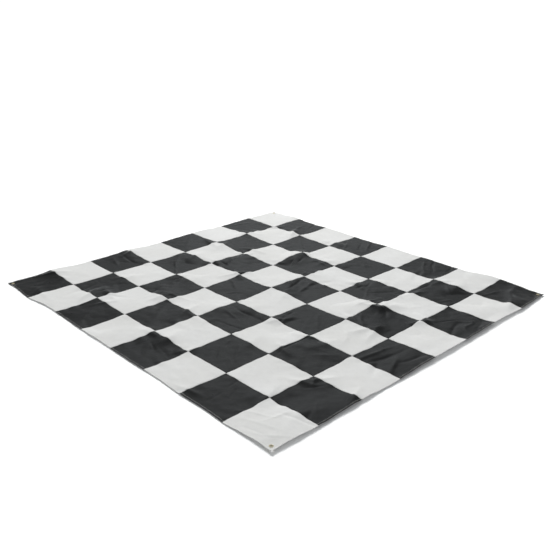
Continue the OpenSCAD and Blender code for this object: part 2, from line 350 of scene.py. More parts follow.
# Sharper creases inside the squares, in the same terms.
CREASES = [
    (0.5, 0.82, -60, 0.3, 0.05, 3.0),
    (0.8, 0.52, -12, 0.34, 0.06, 3.5),
    (0.33, 0.6, -74, 0.3, 0.06, 2.5),
    (0.9, 0.28, -70, 0.32, 0.08, -5.0),
    (0.26, 0.24, -50, 0.24, 0.05, 2.5),
    (0.16, 0.42, -80, 0.24, 0.06, -2.5),
    (1.74, 0.76, -30, 0.2, 0.05, -3.0),
    (1.9, 0.88, 40, 0.16, 0.06, 3.5),
    (1.3, 0.3, 35, 0.3, 0.08, 2.0),
    (1.88, 0.15, 30, 0.2, 0.07, -3.0),
    (3.4, 0.78, -6, 0.42, 0.12, 6.0),
    (3.4, 0.58, -8, 0.42, 0.1, -7.0),
    (3.3, 0.36, 25, 0.34, 0.12, 6.0),
    (3.72, 0.25, -15, 0.3, 0.08, -4.0),
    (3.62, 0.85, 60, 0.16, 0.06, 3.0),
    (5.48, 0.6, -30, 0.26, 0.045, -4.5),
    (5.55, 0.5, -32, 0.26, 0.045, 4.0),
    (5.22, 0.36, 10, 0.34, 0.12, -7.0),
    (5.8, 0.2, 30, 0.34, 0.07, -4.5),
    (5.6, 0.3, 35, 0.3, 0.07, 4.0),
    (6.6, 0.6, 40, 0.34, 0.05, -3.0),
    (6.45, 0.78, 35, 0.3, 0.07, 2.5),
    (7.46, 0.46, 25, 0.55, 0.2, 11.0),
    (7.64, 0.12, 25, 0.5, 0.22, -8.0),
    (7.25, 0.75, -20, 0.3, 0.08, 3.0),
    (0.36, 1.62, 5, 0.16, 0.035, -2.5),
    (0.64, 1.48, 22, 0.16, 0.035, -2.5),
    (0.86, 1.68, 5, 0.14, 0.04, -3.0),
    (0.5, 1.25, 40, 0.3, 0.07, 1.5),
    (1.4, 1.4, 50, 0.4, 0.12, 2.5),
    (2.5, 1.9, 4, 0.44, 0.06, -4.0),
    (2.6, 1.4, -40, 0.34, 0.1, 2.0),
    (3.5, 1.6, 35, 0.4, 0.12, 2.5),
    (4.25, 1.78, 50, 0.24, 0.09, 4.5),
    (4.88, 1.76, 45, 0.26, 0.09, -5.0),
    (4.4, 1.1, -12, 0.26, 0.06, -3.5),
    (5.4, 1.55, -30, 0.4, 0.12, 2.5),
    (6.45, 1.9, 4, 0.36, 0.06, -4.0),
    (6.3, 1.15, -28, 0.24, 0.06, 3.5),
    (6.72, 1.4, 35, 0.3, 0.09, 3.0),
    (7.5, 1.5, 40, 0.4, 0.12, -2.5),
    (1.34, 2.6, 24, 0.2, 0.035, -3.5),
    (1.75, 2.74, 35, 0.14, 0.035, -3.5),
    (1.45, 2.25, 50, 0.26, 0.07, 2.5),
    (3.17, 2.8, 25, 0.16, 0.06, -4.0),
    (3.42, 2.88, 20, 0.12, 0.05, -3.5),
    (3.6, 2.35, 45, 0.36, 0.1, 2.0),
    (5.36, 2.82, -15, 0.18, 0.06, -5.0),
    (5.68, 2.78, 20, 0.16, 0.05, -4.0),
    (5.1, 2.6, 0, 0.14, 0.06, -5.0),
    (5.62, 2.34, -30, 0.3, 0.06, -4.5),
    (5.45, 2.12, -35, 0.24, 0.05, 4.5),
    (5.3, 2.5, 30, 0.26, 0.07, 4.0),
    (7.2, 2.84, -10, 0.16, 0.05, -4.0),
    (7.66, 2.45, 26, 0.34, 0.06, -4.5),
    (7.5, 2.6, 28, 0.34, 0.07, 4.0),
    (7.75, 2.1, 12, 0.26, 0.06, -4.0),
    (0.45, 3.82, -15, 0.2, 0.06, -2.5),
    (0.62, 3.55, 60, 0.16, 0.06, -2.5),
    (0.65, 3.2, 80, 0.22, 0.07, -2.0),
    (2.24, 3.3, -68, 0.34, 0.06, -4.0),
    (2.52, 3.5, 85, 0.4, 0.1, 4.0),
    (2.78, 3.45, 88, 0.4, 0.07, -3.5),
    (4.5, 3.84, 12, 0.46, 0.08, -5.5),
    (4.6, 3.6, 15, 0.4, 0.1, 4.0),
    (4.72, 3.2, 80, 0.3, 0.08, 3.0),
    (6.4, 3.4, 35, 0.4, 0.12, 2.5),
    (1.5, 4.6, 40, 0.4, 0.12, 2.5),
    (3.15, 4.42, -48, 0.16, 0.04, 3.0),
    (3.22, 4.3, -48, 0.16, 0.04, -3.0),
    (3.5, 4.7, 60, 0.3, 0.06, 3.0),
    (5.35, 4.78, 20, 0.14, 0.04, -4.0),
    (5.6, 4.7, 24, 0.16, 0.05, -4.0),
    (5.85, 4.4, 85, 0.3, 0.07, 3.5),
    (7.62, 4.55, 38, 0.4, 0.05, -4.5),
    (7.7, 4.4, 35, 0.4, 0.07, 4.0),
    (7.3, 4.7, 30, 0.3, 0.08, 3.0),
    (1.42, 5.72, -48, 0.42, 0.12, -5.0),
    (0.5, 5.5, 30, 0.4, 0.12, 2.0),
    (2.8, 5.8, -20, 0.3, 0.08, -3.0),
    (4.12, 5.84, 60, 0.2, 0.06, -4.5),
    (4.5, 5.8, 5, 0.4, 0.08, 4.0),
    (6.25, 5.25, 42, 0.4, 0.05, 4.0),
    (6.6, 5.6, 45, 0.34, 0.08, 2.5),
    (1.6, 6.82, 70, 0.1, 0.04, -3.5),
    (1.38, 6.22, -20, 0.16, 0.06, -3.5),
    (3.36, 6.46, 50, 0.44, 0.06, 5.0),
    (3.5, 6.3, 50, 0.4, 0.08, -3.0),
    (5.38, 6.34, -35, 0.2, 0.07, -3.5),
    (5.7, 6.6, 40, 0.3, 0.08, 3.0),
    (7.46, 6.46, 5, 0.26, 0.1, 4.0),
    (7.8, 6.28, 30, 0.26, 0.05, -4.0),
    (0.4, 7.3, 35, 0.4, 0.12, 2.0),
    (2.4, 7.5, 75, 0.34, 0.12, 3.5),
    (2.7, 7.4, 85, 0.34, 0.07, -3.5),
    (4.5, 7.5, 40, 0.4, 0.12, 2.0),
    (6.55, 7.72, -15, 0.3, 0.1, 4.5),
    (6.22, 7.4, -60, 0.26, 0.07, -4.0),
    (7.88, 7.84, 45, 0.2, 0.06, -4.0),
]

# A wrinkle's flanks fall off over this share of its half width, and its ends over this
# multiple of its half length.
FLANK_SHARE = 0.45
END_SHARE = 1.6

# Noise: its size, and the size of its cells in squares. Heights and distances are in
# millimetres, and the bend of the creases is in squares.
UNEVEN = (2.0, 0.55)  # broad rises and hollows
CRINKLE = (0.5, 0.11)  # small ones
DRIFT = (3.5, 0.7)  # how far the cloth wanders in its own plane
JITTER = (0.8, 0.15)  # the same, over short stretches
CREASE_BEND = (0.035, 0.3)  # how far the creases stray from straight lines

# The gathers along the seams and hems. Lengths are in squares where they aren't in _MM.
PUCKER_MM = 2.2  # height along a seam
HEM_PUCKER_MM = 1.2  # height along a hem
PUCKER_REACH_MM = 55.0  # how far from the seam they have faded to a third
PUCKER_PITCH = 0.13  # size along the seam
PUCKER_LENGTH = 0.5  # size away from the seam
PUCKER_LEAN = 0.5  # how much they slant
PUCKER_LEAN_CELL = 0.8  # how soon the slant changes along the seam
PUCKER_LEAST = 0.35  # height where they are weakest, as a share
PUCKER_SPREAD = 0.6  # how much the strength varies
PUCKER_STRENGTH_CELL = 0.6  # how soon it varies along the seam
ONE_LINE = 4  # size of the cells across it, for noise that is read along one line

# The near hem stands off the ground by HEM_LIFT_MM more between two places along it, and has
# crept along x and y by HEM_CREEP for each millimetre of lift.
HEM_LIFT_MM = 9.0
HEM_LIFT_U = (2.2, 8.1)
HEM_LIFT_FADE = 1.2
HEM_CREEP = (-2.0, -0.95)

# The left hem has been drawn in between two places along it, and the right hem stands out
# round one. The first squares beside a hem take its shift up over SIDE_HEM_REACH squares.
LEFT_HEM_IN_MM = 23.0
LEFT_HEM_V = (0.2, 7.1)
LEFT_HEM_FADE = 0.7
RIGHT_HEM_OUT_MM = 22.0
RIGHT_HEM_V = 1.0
RIGHT_HEM_HALF = 0.75
SIDE_HEM_REACH = 0.9

FOLD_ROOM_MM = 43.0  # the heights of two places that fold together add up to no more
FACET_PASSES = 6  # rounds of blurring that take the CAD cloth's facets off
CORNER_FLAT = 0.26  # reach in squares of the patch round a corner that is drawn in as one
CORNER_FREE = 1.0  # reach in squares where the cloth is no longer drawn in with its corner
OVERHEAD = 1.0  # height in metres that the CAD cloth is looked down on from


def cad_cloth_heights(x, y):
    """Height of the CAD cloth's top over the points (x, y), in metres."""
    points, triangles = [], []
    for name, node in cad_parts.items():
        if name.startswith("row_"):
            node.data.calc_loop_triangles()
            start = len(points)
            points.extend(vertex.co.copy() for vertex in node.data.vertices)
            triangles.extend(
                tuple(start + corner for corner in triangle.vertices)
                for triangle in node.data.loop_triangles
            )
    tree = BVHTree.FromPolygons(points, triangles)
    down = Vector((0, 0, -1))
    heights = np.empty(x.shape)
    for place in np.ndindex(x.shape):
        start = Vector((x[place], y[place], OVERHEAD))
        hit = tree.ray_cast(start, down)[0]
        if hit is None:
            start.z = 0.0
            hit = tree.find_nearest(start)[0]
        heights[place] = hit.z
    return heights


def eyelet_draw(corner):
    """How far a corner's eyelet lies from its place on a flat mat, as (x, y) in metres."""
    u, v = CORNERS[corner]
    inset = EYELET_INSET_MM / SIDE_MM
    flat_x = (abs(u - inset) - HALF) * SIDE
    flat_y = (abs(v - inset) - HALF) * SIDE
    return EYELETS[corner].x - flat_x, EYELETS[corner].y - flat_y


def corner_share(corner, u, v):
    """1 on the patch round a corner, 0 from one square away on."""
    reach = np.maximum(abs(u - CORNERS[corner][0]), abs(v - CORNERS[corner][1]))
    return hump(np.maximum(0, reach - CORNER_FLAT) / (CORNER_FREE - CORNER_FLAT))


def blurred(heights, passes):
    """heights with their facets rounded off."""
    for _ in range(passes):
        padded = np.pad(heights, 1, mode="edge")
        heights = (padded[:-2, 1:-1] + 2 * padded[1:-1, 1:-1] + padded[2:, 1:-1]) / 4
        padded = np.pad(heights, 1, mode="edge")
        heights = (padded[1:-1, :-2] + 2 * padded[1:-1, 1:-1] + padded[1:-1, 2:]) / 4
    return heights


def wrinkle_mm(u, v, wrinkle):
    """A wrinkle's height: a crest that is sharper than its flanks."""
    at_u, at_v, heading, half_length, half_width, height = wrinkle
    c, s = math.cos(math.radians(heading)), math.sin(math.radians(heading))
    along = (u - at_u) * c + (v - at_v) * s
    across = (v - at_v) * c - (u - at_u) * s
    flank = 1 / (1 + (across / (FLANK_SHARE * half_width)) ** 2) ** 1.5
    return height * flank * hump(along / (END_SHARE * half_length))


def gathers_mm(u, v):
    """The small gathers that sewing leaves along every seam and hem."""
    total = np.zeros_like(u)
    for k in range(SQUARES + 1):
        for turned in (False, True):
            across, along = (v - k, u) if turned else (u - k, v)
            one = along * 0 + 1
            seed = 100 + 2 * k + turned
            varied = PUCKER_SPREAD * noise(seed, along, one, PUCKER_STRENGTH_CELL, ONE_LINE)
            strength = PUCKER_LEAST + (1 - PUCKER_LEAST) * smooth(0.5 + varied)
            lean = PUCKER_LEAN * noise(seed + 40, along, one, PUCKER_LEAN_CELL, ONE_LINE)
            slanted = along + lean * abs(across)
            small = noise(seed + 80, slanted, abs(across), PUCKER_PITCH, PUCKER_LENGTH)
            fade = np.exp(-abs(across) * SIDE_MM / PUCKER_REACH_MM)
            size = HEM_PUCKER_MM if k in (0, SQUARES) else PUCKER_MM
            total += size * strength * small * fade
    return total


def hem_lift_mm(u, v):
    """How much higher the lifted near hem makes the cloth."""
    start, end = HEM_LIFT_U
    stretch = smooth((u - start) / HEM_LIFT_FADE) * smooth((end - u) / HEM_LIFT_FADE)
    return HEM_LIFT_MM * stretch * hump(v)


def side_hem_shift_mm(u, v):
    """How far along x the left and right hems lie from their places on a flat mat."""
    start, end = LEFT_HEM_V
    stretch = smooth((v - start) / LEFT_HEM_FADE)
    stretch = stretch * (1 - smooth((v - end + LEFT_HEM_FADE) / LEFT_HEM_FADE))
    left = LEFT_HEM_IN_MM * stretch * hump(u / SIDE_HEM_REACH)
    right = RIGHT_HEM_OUT_MM * hump((v - RIGHT_HEM_V) / RIGHT_HEM_HALF)
    return left + right * hump((SQUARES - u) / SIDE_HEM_REACH)


def noise_of(kind, seed, u, v):
    """Noise of the size and with the cells that kind gives, such as UNEVEN."""
    size, cell = kind
    return size * noise(seed, u, v, cell, cell)


def loose_heights_mm(u, v, cad_mm):
    """How high the cloth's top lies where nothing holds it, over CAD cloth of height cad_mm."""
    loose = blurred(cad_mm, FACET_PASSES) + RAISE_MM
    loose += noise_of(UNEVEN, 1, u, v) + noise_of(CRINKLE, 2, u, v)
    loose += sum(wrinkle_mm(u, v, wrinkle) for wrinkle in WRINKLES + SWELLS)
    bent_u = u + noise_of(CREASE_BEND, 7, u, v)
    bent_v = v + noise_of(CREASE_BEND, 8, u, v)
    loose += sum(wrinkle_mm(bent_u, bent_v, crease) for crease in CREASES)
    loose += gathers_mm(u, v) + hem_lift_mm(u, v)
    loose -= np.maximum(0, loose + loose[::-1] - FOLD_ROOM_MM) / 2
    over = loose - LOWEST_MM
    return LOWEST_MM + np.where(over > 1, over, np.exp(np.minimum(over, 1) - 1))


def loose_drift_mm(u, v):
    """How far along x and y the cloth lies from its place, where nothing holds it."""
    lift = hem_lift_mm(u, v)
    drift_x = noise_of(DRIFT, 3, u, v) + noise_of(JITTER, 4, u, v)
    drift_x += HEM_CREEP[0] * lift + side_hem_shift_mm(u, v)
    drift_y = noise_of(DRIFT, 5, u, v) + noise_of(JITTER, 6, u, v)
    drift_y += HEM_CREEP[1] * lift
    return drift_x, drift_y


def lie_of_the_cloth():
    """The top of the cloth as an array of points, GRID_PER_SQUARE cells to a square."""
    steps = np.linspace(0, SQUARES, SQUARES * GRID_PER_SQUARE + 1)
    u, v = np.meshgrid(steps, steps)
    x = (u - HALF) * SIDE
    y = (v - HALF) * SIDE
    for corner in CORNERS:
        draw_x, draw_y = eyelet_draw(corner)
        share = corner_share(corner, u, v)
        x += draw_x * share
        y += draw_y * share
    cad_mm = cad_cloth_heights(x, y) / MM
    height = loose_heights_mm(u, v, cad_mm)
    drift_x, drift_y = loose_drift_mm(u, v)
    for eyelet in EYELETS.values():
        gap = np.hypot(x - eyelet.x, y - eyelet.y) / MM
        held = 1 - smooth((gap - EYELET_FLAT_MM) / (EYELET_FREE_MM - EYELET_FLAT_MM))
        height = height * (1 - held) + cad_mm * held
        drift_x = drift_x * (1 - held)
        drift_y = drift_y * (1 - held)
    return np.stack((x + drift_x * MM, y + drift_y * MM, height * MM), axis=-1)


CLOTH = lie_of_the_cloth()


def cloth_point(u, v):
    """Points on the top of the cloth, for arrays of places in squares."""
    return sample(CLOTH, u * GRID_PER_SQUARE, v * GRID_PER_SQUARE)


# ---------------------------------------------------------------- cloth panels

SEWING_SLIP_MM = 2.2  # how far a short seam misses its place, as a standard deviation
SLIP_LIMIT_MM = 4  # and at most
SEAM_STEPS_MM = (0, 1.5, 3.5, 6, 9, 13)  # lines of the mesh beside a seam
HEM_STEPS_MM = (0, 0.6, 1.6, 4, 8, 10, 12, 14, 18)  # lines of the mesh beside a hem
STEP_MM = 2.0  # width over which the turned cloth thins out to one layer
STEP_INSIDE = 0.75  # share of that width that lies on the turned cloth

# The relief of a hem: how far its turned cloth stands up, then the depth and width of the
# groove along its stitches and of the roll of its edge.
HEM_RISE_MM = 0.3
HEM_GROOVE_MM = (0.35, 1.6)
HEM_ROLL_MM = (0.45, 0.9)
HEM_ROLL_THINS = 0.9  # share of the hem's thickness that is gone at the rolled edge

# The relief of a seam, in the same terms, with the fold of the seam in place of the roll.
SEAM_RISE_MM = 0.35
SEAM_GROOVE_MM = (0.2, 1.5)
SEAM_FOLD_MM = (1.1, 2.2)
SEAM_FOLD_THINS = 0.5  # share of the allowance's thickness that is gone at the fold
THINNEST_MM = 0.3  # the cloth is nowhere thinner than this
PATCH_EDGE_MM = 4  # the relief of the hems comes back over this width of an eyelet's flat patch


def seam_slip(row, line):
    """How far the short seam number line lies off its place in a row, in squares."""
    if line in (0, SQUARES):
        return 0.0
    rng = np.random.default_rng(1000 + SQUARES * row + line)
    slip_mm = np.clip(rng.normal(0, SEWING_SLIP_MM), -SLIP_LIMIT_MM, SLIP_LIMIT_MM)
    return float(slip_mm) / SIDE_MM


def panel_steps(first_is_hem, last_is_hem):
    """Where the lines across a square lie, in millimetres, close together at its edges."""
    low = HEM_STEPS_MM if first_is_hem else SEAM_STEPS_MM
    high = HEM_STEPS_MM if last_is_hem else SEAM_STEPS_MM
    middle = SIDE_MM - low[-1] - high[-1]
    count = round(middle / PANEL_CELL_MM)
    inner = low[-1] + middle * np.arange(1, count) / count
    return np.concatenate((low, inner, [SIDE_MM - step for step in reversed(high)]))


def turned_share(gap, width):
    """1 on cloth that is turned under over this width beside an edge, 0 beyond it."""
    return 1 - smooth((gap - width) / STEP_MM + STEP_INSIDE)


def groove(gap, width):
    """1 at a gap of 0, falling off evenly on both sides."""
    return np.exp(-((gap / width) ** 2))


def edge_profile(column, row, across_mm, up_mm):
    """What sewing adds to a square at distances from its left and near edges, in millimetres:
    the rise of its top, its thickness, and how near the closest seam or hem is."""
    rise = np.zeros_like(across_mm)
    thick = np.full_like(across_mm, CLOTH_MM)
    nearest = np.full_like(across_mm, SIDE_MM)
    edges = (
        (across_mm, column == 0),
        (SIDE_MM - across_mm, column == SQUARES - 1),
        (up_mm, row == 0),
        (SIDE_MM - up_mm, row == SQUARES - 1),
    )
    for gap, is_hem in edges:
        nearest = np.minimum(nearest, gap)
        if is_hem:
            turned = turned_share(gap, HEM_MM)
            stitched = groove(gap - HEM_STITCH_MM, HEM_GROOVE_MM[1])
            rolled = np.exp(-gap / HEM_ROLL_MM[1])
            rise += HEM_RISE_MM * turned - HEM_GROOVE_MM[0] * stitched - HEM_ROLL_MM[0] * rolled
            thick += HEM_THICK_MM * (turned - HEM_ROLL_THINS * rolled)
        else:
            turned = turned_share(gap, ALLOWANCE_MM)
            stitched = groove(gap - SEAM_STITCH_MM, SEAM_GROOVE_MM[1])
            folded = np.exp(-gap / SEAM_FOLD_MM[1])
            rise += SEAM_RISE_MM * turned - SEAM_FOLD_MM[0] * folded - SEAM_GROOVE_MM[0] * stitched
            added = ALLOWANCE_THICK_MM * turned * (1 - SEAM_FOLD_THINS * folded)
            thick = np.maximum(thick, CLOTH_MM + added)
    return rise, np.maximum(thick, THINNEST_MM), nearest


def place_on_mat(column, row, across_mm, up_mm):
    """The u and v of points in a square, for distances from its left and near seams."""
    s = across_mm / SIDE_MM
    slip = seam_slip(row, column) * (1 - s) + seam_slip(row, column + 1) * s
    return column + s + slip, row + up_mm / SIDE_MM


def top_points(column, row, across_mm, up_mm):
    """Points on a square's top, with its seams and hem, and its thickness there."""
    u, v = place_on_mat(column, row, across_mm, up_mm)
    points = cloth_point(u, v)
    rise, thick, nearest = edge_profile(column, row, across_mm, up_mm)
    for corner, (corner_u, corner_v) in CORNERS.items():
        if (column in (corner_u, corner_u - 1)) and (row in (corner_v, corner_v - 1)):
            eyelet = EYELETS[corner]
            gap = np.hypot(points[..., 0] - eyelet.x, points[..., 1] - eyelet.y)
            free = smooth((gap / MM - EYELET_FLAT_MM) / PATCH_EDGE_MM + 1)
            rise = rise * free
            thick = CLOTH_MM + (thick - CLOTH_MM) * free
    points[..., 2] += rise * MM
    return points, thick * MM, nearest


def new_mesh_object(name, points, faces, material, smooth_shading=True):
    """A new object in the scene, of one material."""
    mesh = bpy.data.meshes.new(name)
    mesh.from_pydata([tuple(point) for point in points], [], faces)
    mesh.validate()
    mesh.update()
    mesh.polygons.foreach_set("use_smooth", [smooth_shading] * len(mesh.polygons))
    mesh.materials.append(material)
    made = bpy.data.objects.new(name, mesh)
    bpy.context.scene.collection.objects.link(made)
    return made


def square_mesh(column, row):
    """One nylon square as a closed shell: its points, its faces and, for each point, how far
    the nearest seam is."""
    across = panel_steps(column == 0, column == SQUARES - 1)
    up = panel_steps(row == 0, row == SQUARES - 1)
    across_mm, up_mm = np.meshgrid(across, up)
    top, thick, nearest = top_points(column, row, across_mm, up_mm)
    under = top.copy()
    under[..., 2] -= thick
    under[..., 2] = np.maximum(under[..., 2], GROUND_GAP_MM * MM)
    columns, rows = len(across), len(up)
    count = columns * rows
    index = np.arange(count).reshape(rows, columns)
    quads = np.stack((index[:-1, :-1], index[:-1, 1:], index[1:, 1:], index[1:, :-1]), -1)
    quads = quads.reshape(-1, 4)
    rim = np.concatenate((index[0, :-1], index[:-1, -1], index[-1, :0:-1], index[:0:-1, 0]))
    ahead = np.roll(rim, -1)
    sides = np.stack((rim + count, ahead + count, ahead, rim), -1)
    faces = np.concatenate((quads, quads[:, ::-1] + count, sides))
    points = np.concatenate((top.reshape(-1, 3), under.reshape(-1, 3)))
    return points, faces, np.concatenate((nearest.ravel(), nearest.ravel()))


CUTTER_HALF_HEIGHT = 0.02  # well over the thickness of the cloth


def cut_hole(cloth, corner):
    """Cuts the eyelet's hole through the cloth."""
    points, faces = round_bar(EYELETS[corner], HOLE_RADIUS_MM * MM, CUTTER_HALF_HEIGHT)
    cutter = new_mesh_object("cutter", points, faces, cloth.data.materials[0])
    cut = cloth.modifiers.new("hole", "BOOLEAN")
    cut.object = cutter
    cut.operation = "DIFFERENCE"
    cut.solver = "EXACT"
    graph = bpy.context.evaluated_depsgraph_get()
    result = bpy.data.meshes.new_from_object(cloth.evaluated_get(graph))
    cloth.modifiers.remove(cut)
    cloth.data = result
    bpy.data.objects.remove(cutter)


def round_bar(centre, radius, half_height, sides=40):
    """A closed upright round bar's points and faces."""
    turn = np.arange(sides) * 2 * math.pi / sides
    ring = np.stack((np.cos(turn) * radius, np.sin(turn) * radius), -1)
    points = [(centre.x + x, centre.y + y, centre.z - half_height) for x, y in ring]
    points += [(centre.x + x, centre.y + y, centre.z + half_height) for x, y in ring]
    faces = [tuple(range(sides))[::-1], tuple(range(sides, 2 * sides))]
    faces += [(k, (k + 1) % sides, (k + 1) % sides + sides, k + sides) for k in range(sides)]
    return points, faces


# ---------------------------------------------------------------- stitches

# Length, width and height of one stitch, and the distance from one to the next.
HEM_STITCH = (5.6, 1.9, 1.1)
HEM_PITCH_MM = 7.2
SEAM_STITCH = (4.2, 1.0, 0.7)
SEAM_PITCH_MM = 7.0
TANGENT_MM = 1.5  # a line's direction is taken from points this far before and after

# Along a stitch: how far from its middle, as a share of its length, how thick it is there, as
# a share of its width, and how high, as a share of its height.
STITCH_STATIONS = ((-0.5, 0.35, -0.5), (-0.28, 0.9, 0.1), (0.28, 0.9, 0.1), (0.5, 0.35, -0.5))


def stitch_mesh(middles, tangents, length_mm, width_mm, height_mm, sides=6):
    """Short lengths of thread that dip into the cloth at both ends."""
    stations = STITCH_STATIONS
    up = np.array((0.0, 0.0, 1.0))
    tangents = tangents / np.linalg.norm(tangents, axis=1)[:, None]
    side = np.cross(up, tangents)
    side /= np.linalg.norm(side, axis=1)[:, None]
    normal = np.cross(tangents, side)
    points = []
    for at, girth, lift in stations:
        for k in range(sides):
            angle = 2 * math.pi * k / sides
            points.append(
                middles
                + tangents * at * length_mm * MM
                + side * (0.5 * width_mm * girth * math.cos(angle)) * MM
                + normal * (height_mm * (lift + 0.5 * girth * math.sin(angle))) * MM
            )
    points = np.stack(points, axis=1)
    ring = list(range(sides))
    one = [tuple(reversed(ring))]
    for station in range(len(stations) - 1):
        base = station * sides
        one += [
            (base + k, base + (k + 1) % sides, base + sides + (k + 1) % sides, base + sides + k)
            for k in range(sides)
        ]
    one.append(tuple((len(stations) - 1) * sides + k for k in ring))
    per = len(stations) * sides
    faces = [tuple(per * n + k for k in face) for n in range(len(middles)) for face in one]
    return points.reshape(-1, 3), faces


def line_on_square(column, row, along_x, off_mm, pitch_mm, cut_mm=(0.0, 0.0)):
    """Where the stitches of a line lie on a square: off_mm from its near or left edge, each
    with the line's direction there."""
    count = max(2, round((SIDE_MM - sum(cut_mm)) / pitch_mm))
    run = cut_mm[0] + (SIDE_MM - sum(cut_mm)) * (np.arange(count) + 0.5) / count
    off = np.full(count, float(off_mm))
    before, middle, after = (
        top_points(column, row, *((here, off) if along_x else (off, here)))[0]
        for here in (run - TANGENT_MM, run, run + TANGENT_MM)
    )
    return middle, after - before


# ---------------------------------------------------------------- materials


def new_material(name):
    """A new material, its node tree and its shader."""
    material = bpy.data.materials.new(name)
    material.use_nodes = True
    tree = material.node_tree
    return material, tree, tree.nodes["Principled BSDF"]


def add(tree, kind, **values):
    """A node with some of its sockets or settings filled in."""
    node = tree.nodes.new(kind)
    for key, value in values.items():
        if key in node.inputs:
            node.inputs[key].default_value = value
        else:
            setattr(node, key, value)
    return node


def ramp(tree, source, low, high, from_low=0.0, from_high=1.0):
    """A colour that goes from low to high as source goes from from_low to from_high."""
    spread = add(tree, "ShaderNodeMapRange")
    spread.inputs["From Min"].default_value = from_low
    spread.inputs["From Max"].default_value = from_high
    tree.links.new(source, spread.inputs["Value"])
    blend = add(tree, "ShaderNodeMix", data_type="RGBA")
    blend.inputs[6].default_value = (*low, 1)
    blend.inputs[7].default_value = (*high, 1)
    tree.links.new(spread.outputs["Result"], blend.inputs["Factor"])
    return blend.outputs[2]


def darker(tree, colour, source, amount, from_low=0.0, from_high=1.0):
    """colour, multiplied down by amount where source is at from_low."""
    spread = add(tree, "ShaderNodeMapRange")
    spread.inputs["From Min"].default_value = from_low
    spread.inputs["From Max"].default_value = from_high
    spread.inputs["To Min"].default_value = 1 - amount
    spread.inputs["To Max"].default_value = 1
    tree.links.new(source, spread.inputs["Value"])
    scale = add(tree, "ShaderNodeVectorMath", operation="SCALE")
    tree.links.new(colour, scale.inputs[0])
    tree.links.new(spread.outputs["Result"], scale.inputs["Scale"])
    return scale.outputs[0]


def worn_roughness(tree, shader, source, low, high):
    """Roughness that goes from low to high with source."""
    wear = add(tree, "ShaderNodeMapRange")
    wear.inputs["To Min"].default_value = low
    wear.inputs["To Max"].default_value = high
    tree.links.new(source, wear.inputs["Value"])
    tree.links.new(wear.outputs["Result"], shader.inputs["Roughness"])


def nylon_material(name, low, high, roughness, crinkle, edge_dark):
    """Coated oxford nylon: a fine weave, soft crinkles, and a colour that isn't quite even."""
    material, tree, shader = new_material(name)
    place = add(tree, "ShaderNodeTexCoord").outputs["Object"]
    broad = add(tree, "ShaderNodeTexNoise", Scale=2.6, Detail=3.0, Roughness=0.55)
    mottle = add(tree, "ShaderNodeTexNoise", Scale=38.0, Detail=4.0, Roughness=0.6)
    folds = add(tree, "ShaderNodeTexNoise", Scale=26.0, Detail=2.5, Roughness=0.5, Distortion=0.15)
    weave_x = add(tree, "ShaderNodeTexWave", Scale=300.0, bands_direction="X")
    weave_y = add(tree, "ShaderNodeTexWave", Scale=300.0, bands_direction="Y")
    for texture in (broad, mottle, folds, weave_x, weave_y):
        tree.links.new(place, texture.inputs["Vector"])
    colour = ramp(tree, broad.outputs["Fac"], low, high, 0.3, 0.7)
    colour = darker(tree, colour, mottle.outputs["Fac"], 0.04, 0.3, 0.6)
    edge = add(tree, "ShaderNodeAttribute", attribute_name="seam_gap")
    colour = darker(tree, colour, edge.outputs["Fac"], edge_dark, 1.0, 9.0)
    tree.links.new(colour, shader.inputs["Base Color"])
    weave = add(tree, "ShaderNodeMath", operation="ADD")
    tree.links.new(weave_x.outputs["Fac"], weave.inputs[0])
    tree.links.new(weave_y.outputs["Fac"], weave.inputs[1])
    fine = add(tree, "ShaderNodeBump", Strength=0.12, Distance=0.0002)
    tree.links.new(weave.outputs[0], fine.inputs["Height"])
    soft = add(tree, "ShaderNodeBump", Strength=crinkle, Distance=0.004)
    tree.links.new(folds.outputs["Fac"], soft.inputs["Height"])
    tree.links.new(fine.outputs["Normal"], soft.inputs["Normal"])
    tree.links.new(soft.outputs["Normal"], shader.inputs["Normal"])
    worn_roughness(tree, shader, mottle.outputs["Fac"], roughness - 0.08, roughness + 0.10)
    return material, shader


def white_nylon():
    """Matt white, a little dark at the seams."""
    material, shader = nylon_material(
        "white_nylon",
        low=(0.55, 0.548, 0.538),
        high=(0.59, 0.59, 0.585),
        roughness=0.62,
        crinkle=0.25,
        edge_dark=0.05,
    )
    shader.inputs["Specular IOR Level"].default_value = 0.3
    shader.inputs["Sheen Weight"].default_value = 0.08
    return material


def black_nylon():
    """Satin black, which shows more of its crinkles."""
    material, shader = nylon_material(
        "black_nylon",
        low=(0.009, 0.0092, 0.0092),
        high=(0.012, 0.0122, 0.0125),
        roughness=0.30,
        crinkle=0.35,
        edge_dark=0.3,
    )
    shader.inputs["Specular IOR Level"].default_value = 0.14
    return material


def thread_material(name, low, high):
    """Twisted thread, in a helix of fine strands."""
    material, tree, shader = new_material(name)
    place = add(tree, "ShaderNodeTexCoord").outputs["Object"]
    twist = add(tree, "ShaderNodeTexWave", Scale=500.0, bands_direction="DIAGONAL", Distortion=2.0)
    fuzz = add(tree, "ShaderNodeTexNoise", Scale=900.0, Detail=2.0)
    for texture in (twist, fuzz):
        tree.links.new(place, texture.inputs["Vector"])
    colour = ramp(tree, fuzz.outputs["Fac"], low, high, 0.3, 0.7)
    tree.links.new(colour, shader.inputs["Base Color"])
    bump = add(tree, "ShaderNodeBump", Strength=0.4, Distance=0.0002)
    tree.links.new(twist.outputs["Fac"], bump.inputs["Height"])
    tree.links.new(bump.outputs["Normal"], shader.inputs["Normal"])
    shader.inputs["Roughness"].default_value = 0.6
    return material


